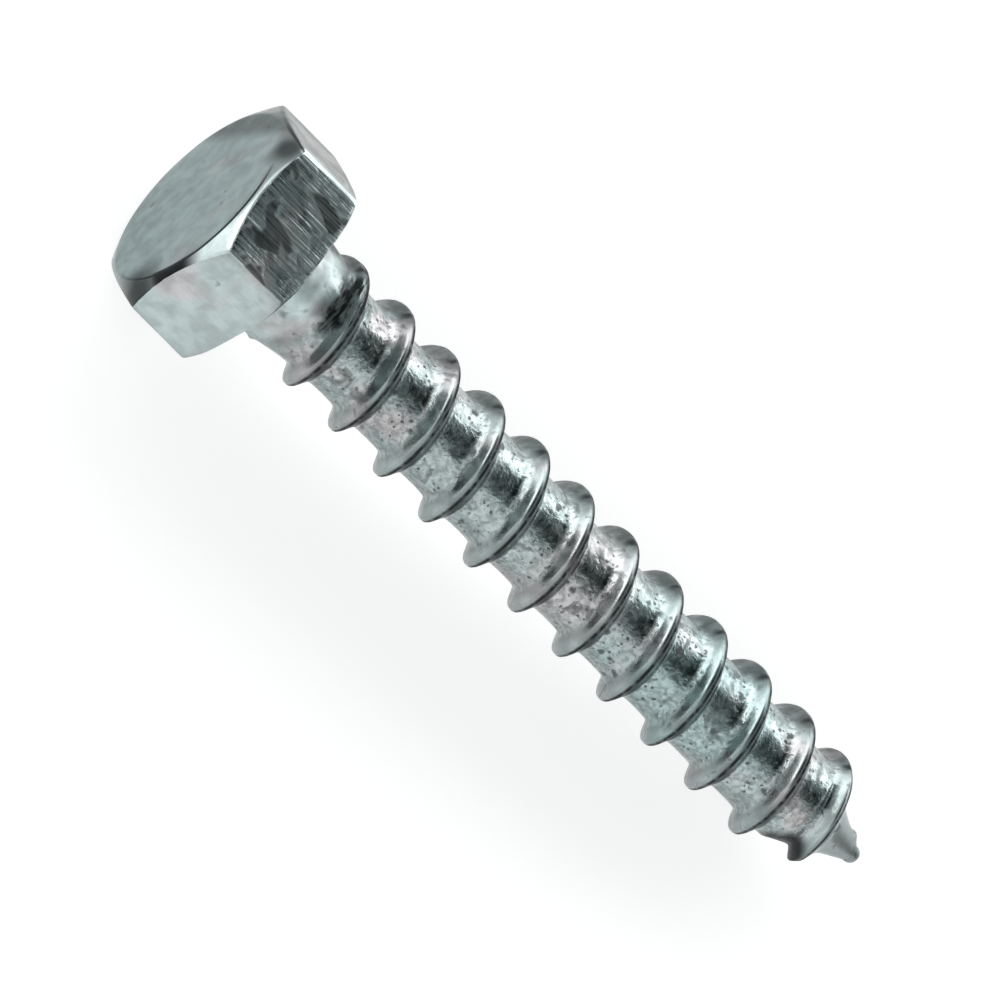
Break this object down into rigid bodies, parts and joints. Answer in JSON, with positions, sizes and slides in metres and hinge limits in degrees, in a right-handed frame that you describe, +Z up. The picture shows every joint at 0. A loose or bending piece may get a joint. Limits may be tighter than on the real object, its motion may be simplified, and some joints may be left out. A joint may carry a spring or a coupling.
{
  "type": "lag screw",
  "caption": "Hexagon-head lag screw with a plain neck, coarse right-hand wood thread and gimlet point, lying at rest.",
  "frame": {"origin": "on the floor, under the middle of the screw's whole length as it lies at rest", "axes": "+X from the head towards the point, +Z up; the screw's own axis lies in the XZ plane and slopes 3.26 degrees down to the point"},
  "size_m": [0.0568, 0.015, 0.0133],
  "materials": {
    "zinc_plated_steel": "bright zinc plate, satin"
  },
  "bodies": {
    "root": {"lag_screw": "zinc_plated_steel"}
  },
  "joints": []
}
